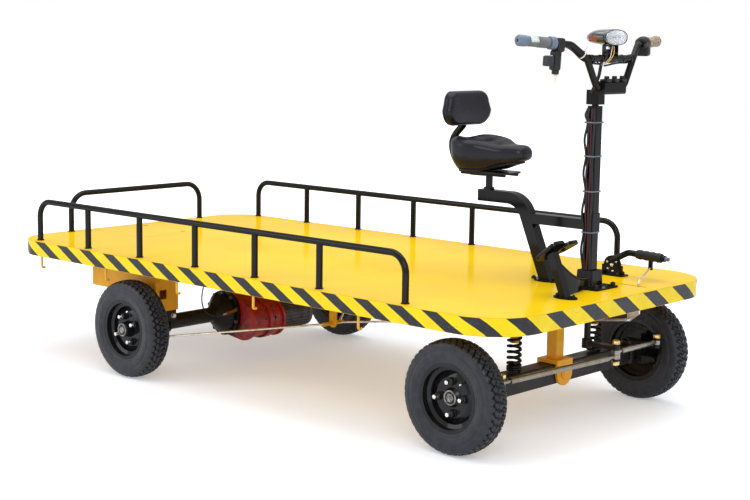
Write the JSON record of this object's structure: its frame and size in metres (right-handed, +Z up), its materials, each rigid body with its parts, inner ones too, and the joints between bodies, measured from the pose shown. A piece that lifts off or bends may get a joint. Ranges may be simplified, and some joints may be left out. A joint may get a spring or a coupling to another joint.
{
  "type": "electric platform cart",
  "caption": "Flat steel deck cart on pneumatic wheels, steered by a handlebar from a driver's saddle, with guard rails and a hazard-striped skirt.",
  "frame": {"origin": "on the ground below the centre of the deck", "axes": "+X forward, +Y to the cart's left, +Z up"},
  "size_m": [2.44, 1.22, 1.3032],
  "materials": {
    "deck_yellow": "gloss enamel over steel plate",
    "hazard_skirt": "yellow band with black diagonal tape",
    "frame_yellow": "orange-yellow enamel",
    "gloss_black": "gloss black enamel",
    "axle_black": "satin black paint",
    "gear_red": "dark red paint on cast iron",
    "motor_grey": "dark grey paint",
    "spring_steel": "black spring steel",
    "zinc_steel": "zinc-plated steel",
    "tyre": "black tyre rubber",
    "wheel_black": "gloss black rim",
    "vinyl": "dark blue-grey vinyl",
    "grip_rubber": "moulded rubber",
    "black_plastic": "black moulded plastic",
    "lens": "clear lens",
    "pedal_rubber": "worn ribbed rubber",
    "battery_case": "battery case plastic"
  },
  "bodies": {
    "frame": {"deck_plate": "deck_yellow", "deck_hatch": "deck_yellow", "deck_skirt": "hazard_skirt", "chassis_rails": "frame_yellow", "cross_frame": "frame_yellow", "hatch_ledge": "frame_yellow", "rope_hooks": "hazard_skirt", "side_rail_left": "gloss_black", "side_rail_right": "gloss_black", "rear_rail": "gloss_black", "front_axle_beam": "axle_black", "front_pivot_post": "frame_yellow", "spring_guides": "frame_yellow", "front_spring_left": "spring_steel", "front_spring_right": "spring_steel", "column_base": "gloss_black", "steering_column": "gloss_black", "seat_frame": "gloss_black", "seat_brace": "gloss_black", "seat_post": "gloss_black", "saddle": "vinyl", "backrest_pad": "vinyl", "backrest_tube": "gloss_black", "rear_axle_housing": "axle_black", "gear_case": "gear_red", "drive_motor": "motor_grey", "rear_hangers": "frame_yellow", "axle_clamps": "axle_black", "battery_tray": "axle_black", "battery_pack": "battery_case", "brake_equalizer": "frame_yellow", "brake_rods": "zinc_steel", "brake_linkage": "zinc_steel", "foot_pedal_right": "pedal_rubber", "foot_rest_left": "pedal_rubber", "handbrake_lever": "gloss_black", "column_cables": "black_plastic", "breather_hose": "black_plastic"},
    "steering": {"steering_shaft": "axle_black", "handlebar_stem": "gloss_black", "handlebar": "gloss_black", "grip_left": "grip_rubber", "grip_right": "grip_rubber", "switch_housings": "black_plastic", "headlamp": "black_plastic", "headlamp_lens": "lens"},
    "knuckle_left": {"knuckle_left": "axle_black"},
    "knuckle_right": {"knuckle_right": "axle_black"},
    "tie_rod_left": {"tie_rod_left": "zinc_steel"},
    "tie_rod_right": {"tie_rod_right": "zinc_steel"},
    "wheel_front_left": {"tyre_front_left": "tyre", "wheel_front_left": "wheel_black"},
    "wheel_front_right": {"tyre_front_right": "tyre", "wheel_front_right": "wheel_black"},
    "wheel_rear_left": {"tyre_rear_left": "tyre", "wheel_rear_left": "wheel_black"},
    "wheel_rear_right": {"tyre_rear_right": "tyre", "wheel_rear_right": "wheel_black"}
  },
  "joints": [
    {"name": "steer", "type": "hinge", "parent": "frame", "child": "steering", "pos_m": [1.035, 0.1, 0.7], "axis": [0, 0, 1], "range_deg": [-35, 35]},
    {"name": "knuckle_left_turn", "type": "hinge", "parent": "frame", "child": "knuckle_left", "pos_m": [0.978, 0.44, 0.181], "axis": [0, 0, 1], "range_deg": [-36, 36]},
    {"name": "knuckle_right_turn", "type": "hinge", "parent": "frame", "child": "knuckle_right", "pos_m": [0.978, -0.44, 0.181], "axis": [0, 0, 1], "range_deg": [-36, 36]},
    {"name": "tie_rod_left_turn", "type": "hinge", "parent": "steering", "child": "tie_rod_left", "pos_m": [1.15, 0.1, 0.254], "axis": [0, 0, 1], "range_deg": [-36, 36]},
    {"name": "tie_rod_right_turn", "type": "hinge", "parent": "steering", "child": "tie_rod_right", "pos_m": [1.15, 0.1, 0.239], "axis": [0, 0, 1], "range_deg": [-36, 36]},
    {"name": "wheel_front_left_spin", "type": "hinge", "parent": "knuckle_left", "child": "wheel_front_left", "pos_m": [0.978, 0.519, 0.181], "axis": [0, 1, 0], "continuous": true},
    {"name": "wheel_front_right_spin", "type": "hinge", "parent": "knuckle_right", "child": "wheel_front_right", "pos_m": [0.978, -0.519, 0.181], "axis": [0, 1, 0], "continuous": true},
    {"name": "wheel_rear_left_spin", "type": "hinge", "parent": "frame", "child": "wheel_rear_left", "pos_m": [-0.535, 0.563, 0.181], "axis": [0, 1, 0], "continuous": true},
    {"name": "wheel_rear_right_spin", "type": "hinge", "parent": "frame", "child": "wheel_rear_right", "pos_m": [-0.535, -0.563, 0.181], "axis": [0, 1, 0], "continuous": true}
  ],
  "couplings": [
    {"joint": "knuckle_left_turn", "follows": "steer", "ratio": 1},
    {"joint": "knuckle_right_turn", "follows": "steer", "ratio": 1},
    {"joint": "tie_rod_left_turn", "follows": "steer", "ratio": -1},
    {"joint": "tie_rod_right_turn", "follows": "steer", "ratio": -1}
  ]
}
